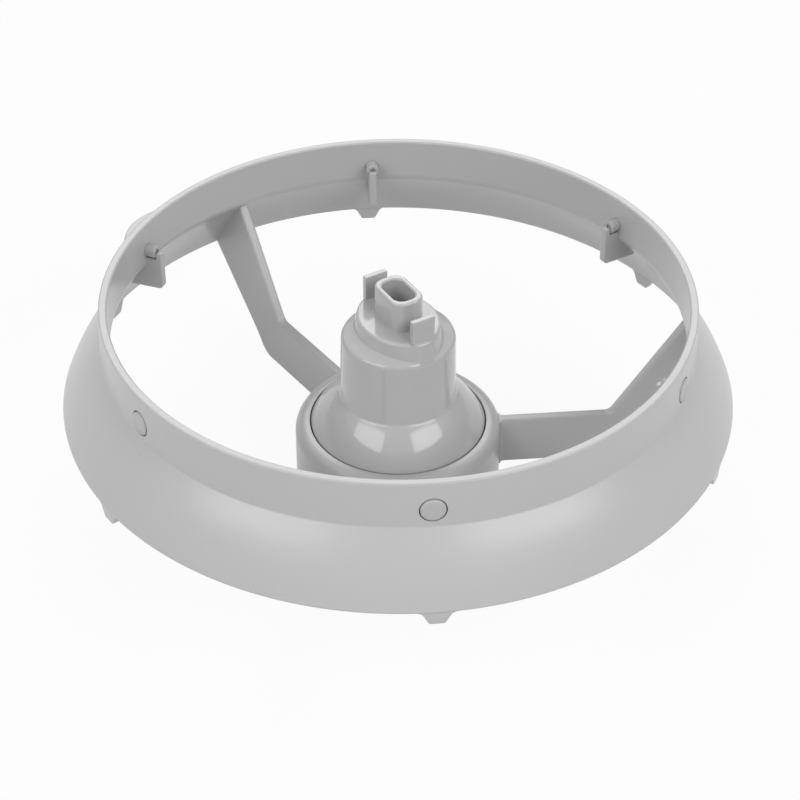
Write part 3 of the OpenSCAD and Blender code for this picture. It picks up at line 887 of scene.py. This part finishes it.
@dataclass
class DriveCoupling:
    """The one-piece drive coupling: bell, tower, step, oval socket, lugs and keyed stem."""

    turn: float = -65.0
    hub_h: float = 22.1
    bell_r: float = 25.6
    bell_edge_z: float = 17.1
    bell_top_z: float = 32.7
    bell_bulge: float = 0.6
    shell: float = 2.2
    tower_r: float = 16.9
    tower_top_r: float = 16.5
    tower_foot: float = 1.0
    shoulder_z: float = 52.9
    shoulder_round: float = 2.0
    shoulder_slope: float = 24.0
    bore_r: float = 5.0
    bore_top_z: float = 50.0
    stem_r: float = 8.0
    stem_z: float = 1.58
    groove_r: float = 7.0
    groove_z: float = 3.08
    groove_top_z: float = 4.32
    collar_r: float = 10.4
    collar_z: float = 19.3
    key_w: float = 3.0
    key_depth: float = 1.2
    steps: int = 192

    step_z: float = 58.6
    step_end_r: float = 14.8
    step_side_r: float = 15.9
    step_half_w: float = 11.5
    step_round: float = 1.0
    step_flare: float = 1.5

    socket_z: float = 68.1
    socket_l: float = 14.8
    socket_w: float = 10.0
    socket_round: float = 3.6
    socket_depth: float = 14.0
    hole_l: float = 11.0
    hole_w: float = 6.8
    hole_round: float = 2.8
    hole_ease: float = 0.35
    rim_ease: float = 0.7

    lug_out: float = 13.8
    lug_t: float = 1.65
    lug_l: float = 7.3
    lug_z: float = 66.1
    lug_ease: float = 0.25
    embed: float = 0.5

    def body(self) -> BMesh:
        """Turns bell, tower and stem, hollow from below."""
        outer = Arc.bulging((self.bell_r, self.hub_h), (self.tower_r, self.bell_top_z), self.bell_bulge)
        in_top = (self.tower_r - self.shell, self.bell_top_z - self.shell / 2)
        in_low = (self.bell_r - self.shell, self.hub_h)
        inner = Arc.bulging(in_low, in_top, self.bell_bulge)
        foot = outer.at_x(self.tower_r + self.tower_foot, self.tower_foot)
        ceiling = self.shoulder_z - self.shell
        pen = Outline(0.0, self.bore_top_z).line((self.bore_r, self.bore_top_z), (self.bore_r, self.stem_z))
        pen.round((self.stem_r, self.stem_z), (self.stem_r, self.groove_z), self.embed)
        pen.line((self.stem_r, self.groove_z), (self.groove_r, self.groove_z))
        pen.line((self.groove_r, self.groove_top_z), (self.stem_r, self.groove_top_z))
        pen.line((self.stem_r, self.collar_z), (self.collar_r, self.collar_z))
        pen.round((self.collar_r, ceiling), (in_top[0], ceiling), 1.0)
        pen.round((in_top[0], ceiling), in_top, 1.0).line(in_top)
        pen.arc((inner.x, inner.z), in_low, 12).line((in_low[0], self.bell_edge_z))
        pen.round((self.bell_r, self.bell_edge_z), (self.bell_r, self.hub_h), self.embed)
        pen.line((self.bell_r, self.hub_h)).arc((outer.x, outer.z), outer.towards(foot), 20)
        pen.arc(foot, (self.tower_r, foot[1]))
        peak = (0.0, self.shoulder_z + self.tower_top_r * math.tan(math.radians(self.shoulder_slope)))
        pen.round((self.tower_top_r, self.shoulder_z), peak, self.shoulder_round)
        return pen.line(peak).revolved(self.steps)

    def step(self) -> BMesh:
        """Raises the step: two wide arcs along its sides between the arcs of its ends."""
        offset = self.step_side_r - self.step_half_w
        y = (self.step_side_r**2 - self.step_end_r**2 - offset**2) / (2 * offset)
        x = math.sqrt(self.step_end_r**2 - y**2)
        pen = Outline(x, -y)
        for side in (1.0, -1.0):
            pen.arc((0.0, 0.0), (side * x, side * y), 16)
            pen.arc((0.0, -side * offset), (0.0, side * self.step_half_w), 16)
            pen.arc((0.0, -side * offset), (-side * x, side * y), 16)
        form = self.raised(pen.close(), self.shoulder_z - self.embed, self.step_z, self.step_round, 4)
        wider = 1 + self.step_flare / self.step_end_r
        feet = [corner for corner in form.verts if corner.co.z < self.shoulder_z]
        bmesh.ops.scale(form, vec=(wider, wider, 1.0), verts=feet)
        return form

    @staticmethod
    def raised(pen: Outline, low: float, high: float, ease: float, segments: int) -> BMesh:
        """Stands an outline of x and y up as a column with an eased top edge.

        Args:
            pen: The closed outline, drawn with y as its second coordinate.
            low: Height of the column's foot.
            high: Height of its top.
            ease: Width of the bevel round its top.
            segments: Number of strips in the bevel.

        Returns:
            The column.
        """
        form = turned(pen.form, 90.0, "X")
        bmesh.ops.contextual_create(form, geom=form.edges[:])
        moved(form, z=low)
        tops = extruded(form, form.faces[:], Vector((0.0, 0.0, high - low)))
        rim = list({edge for top in tops for edge in top.edges})
        sealed(form)
        bmesh.ops.bevel(
            form, geom=[edge for edge in rim if edge.is_valid], offset=ease, offset_type="OFFSET",
            segments=segments, profile=0.5, affect="EDGES", material=-1,
        )
        return form

    @staticmethod
    def oval(length: float, width: float, corner: float) -> Outline:
        """Draws a rounded rectangle about the axis."""
        x, y = length / 2, width / 2
        return Outline.polygon((-x, -y, corner), (x, -y, corner), (x, y, corner), (-x, y, corner), steps=10)

    def hole(self) -> BMesh:
        """Makes the cutter of the socket's hole, which opens a little at the rim."""
        form = turned(self.oval(self.hole_l, self.hole_w, self.hole_round).form, 90.0, "X")
        bmesh.ops.contextual_create(form, geom=form.edges[:])
        moved(form, z=self.socket_z - self.socket_depth)
        tops = extruded(form, form.faces[:], Vector((0.0, 0.0, self.socket_depth - self.hole_ease)))
        tops = extruded(form, tops, Vector((0.0, 0.0, self.hole_ease)))
        wider = 1 + 2 * self.hole_ease / Vector((self.hole_l, self.hole_w))[0]
        broader = 1 + 2 * self.hole_ease / self.hole_w
        corners = list({corner for top in tops for corner in top.verts})
        bmesh.ops.scale(form, vec=(wider, broader, 1.0), verts=corners)
        extruded(form, tops, Vector((0.0, 0.0, 2.0)))
        return sealed(form)

    def lug(self, side: float) -> BMesh:
        """Makes one flat lug at the end of the step."""
        low = self.shoulder_z - self.embed
        form = bmesh.new()
        bmesh.ops.create_cube(form, size=1.0)
        bmesh.ops.scale(form, vec=(self.lug_t, self.lug_l, self.lug_z - low), verts=form.verts[:])
        moved(form, x=side * (self.lug_out - self.lug_t / 2), z=(self.lug_z + low) / 2)
        return eased(form, self.lug_ease, 3)

    def keyway(self) -> BMesh:
        """Makes the cutter of the spindle bore's two keyways."""
        form = bmesh.new()
        bmesh.ops.create_cube(form, size=1.0)
        height = self.bore_top_z - self.stem_z + 1
        length = 2 * (self.bore_r + self.key_depth)
        bmesh.ops.scale(form, vec=(length, self.key_w, height), verts=form.verts[:])
        return moved(form, z=self.bore_top_z - height / 2)

    def build(self, finish: Material) -> Object:
        """Joins the coupling's forms, cuts its hole and keyways and dresses the piece."""
        socket = self.oval(self.socket_l, self.socket_w, self.socket_round)
        column = self.raised(socket, self.step_z - self.embed, self.socket_z, self.rim_ease, 5)
        whole = combined(self.body(), [self.step(), column, self.lug(1.0), self.lug(-1.0)], Union.JOIN)
        whole = combined(whole, [self.hole(), self.keyway()], Union.CUT)
        return piece(turned(whole, self.turn), "drive_coupling", Body.COUPLING, finish)


# Studio and camera


@dataclass(frozen=True)
class Softbox:
    """A rectangular lamp, placed by its direction from the object and rolled, in degrees."""

    name: str
    azimuth: float
    rise: float
    power: float
    size: tuple[float, float]
    roll: float = 0.0
    distance: float = 3.0


@dataclass
class Studio:
    """Pale floor, even surroundings, two wide softboxes in front and a weak one behind."""

    ambient: float = 0.54
    floor_grey: float = 0.7
    floor_white: float = 0.93
    floor_size: float = 8.0
    softboxes: tuple[Softbox, ...] = (
        Softbox("softbox_right", -45.7, 38.2, 36.0, (2.17, 1.15), -15.0),
        Softbox("softbox_left", -146.5, 38.2, 31.0, (2.17, 1.15), 15.0),
        Softbox("softbox_back", 84.0, 41.0, 27.0, (1.8, 1.5)),
    )
    target: tuple[float, float, float] = (0.0, 0.0, 0.035)

    def surroundings(self) -> None:
        """Lights evenly from all round and shows white behind the object."""
        world = bpy.data.worlds.new("studio")
        bpy.context.scene.world = world
        graph = Graph(world)
        strength = graph.bare_rays() * (1 - self.ambient) + self.ambient
        shader = graph.node("ShaderNodeBackground", inputs={"Color": (1.0, 1.0, 1.0, 1.0), "Strength": strength})
        graph.finish(shader, "ShaderNodeOutputWorld")

    def floor(self) -> Object:
        """Lays the pale floor, which keeps a faint shadow."""
        form = bmesh.new()
        bmesh.ops.create_grid(form, x_segments=1, y_segments=1, size=self.floor_size / 2)
        mesh = bpy.data.meshes.new("floor")
        form.to_mesh(mesh)
        form.free()
        made = bpy.data.objects.new("floor", mesh)
        bpy.context.scene.collection.objects.link(made)
        pale = bpy.data.materials.new("pale_floor")
        graph = Graph(pale)
        matt = graph.node("ShaderNodeBsdfDiffuse", inputs={"Color": (*[self.floor_grey] * 3, 1.0)})
        white = graph.node("ShaderNodeEmission", inputs={"Color": (1.0, 1.0, 1.0, 1.0), "Strength": 1.0})
        share = graph.bare_rays() * self.floor_white
        graph.finish(graph.node("ShaderNodeMixShader", inputs={0: share, 1: matt.outputs[0], 2: white.outputs[0]}))
        mesh.materials.append(pale)
        return made

    def hang(self, softbox: Softbox) -> Object:
        """Hangs a softbox, turned towards the object."""
        lamp = bpy.data.lights.new(softbox.name, "AREA")
        lamp.shape = "RECTANGLE"
        lamp.size, lamp.size_y = softbox.size
        lamp.energy = softbox.power
        made = bpy.data.objects.new(softbox.name, lamp)
        rise, swing = math.radians(softbox.rise), math.radians(softbox.azimuth)
        way = Vector((math.cos(rise) * math.cos(swing), math.cos(rise) * math.sin(swing), math.sin(rise)))
        made.location = Vector(self.target) + way * softbox.distance
        aim = (-way).to_track_quat("-Z", "Y").to_matrix()
        made.rotation_euler = (aim @ Matrix.Rotation(math.radians(softbox.roll), 3, "Z")).to_euler()
        bpy.context.scene.collection.objects.link(made)
        return made

    def build(self) -> None:
        """Sets up the studio."""
        self.surroundings()
        self.floor()
        for softbox in self.softboxes:
            self.hang(softbox)
        log.info("studio with %d softboxes", len(self.softboxes))


@dataclass(frozen=True)
class PhotoCamera:
    """The photograph's camera, found from the object's outlines."""

    azimuth: float = -96.09
    elevation: float = 37.487
    distance: float = 0.57925
    target: tuple[float, float, float] = (0.0, 0.0, 0.0353)
    lens: float = 89.53
    roll: float = 0.0043
    shift: tuple[float, float] = (0.0023, -0.0221)

    def build(self) -> Object:
        """Places the camera and makes it the scene's."""
        data = bpy.data.cameras.new("photo_camera")
        data.lens = self.lens
        data.sensor_width = 36.0
        data.shift_x, data.shift_y = self.shift
        made = bpy.data.objects.new("photo_camera", data)
        bpy.context.scene.collection.objects.link(made)
        rise, swing = math.radians(self.elevation), math.radians(self.azimuth)
        way = Vector((math.cos(rise) * math.cos(swing), math.cos(rise) * math.sin(swing), math.sin(rise)))
        look = (-way).to_track_quat("-Z", "Y").to_matrix() @ Matrix.Rotation(self.roll, 3, "Z")
        made.location = Vector(self.target) + way * self.distance
        made.rotation_euler = look.to_euler()
        bpy.context.scene.camera = made
        return made


def main() -> None:
    """Builds camera, studio and pieces in order."""
    logging.basicConfig(level=logging.INFO, format="%(message)s")
    bpy.context.scene.view_settings.view_transform = "Standard"
    PhotoCamera().build()
    Studio().build()
    ring = CarrierRing()
    ring.build(RING_PLASTIC.material())
    RingPins(ring).build(PIN_PLASTIC.material())
    Bearing().build(BUSH_PLASTIC.material(), WASHER_STEEL.material(), CLIP_STEEL.material())
    DriveCoupling().build(COUPLING_PLASTIC.material())


if __name__ == "__main__":
    main()
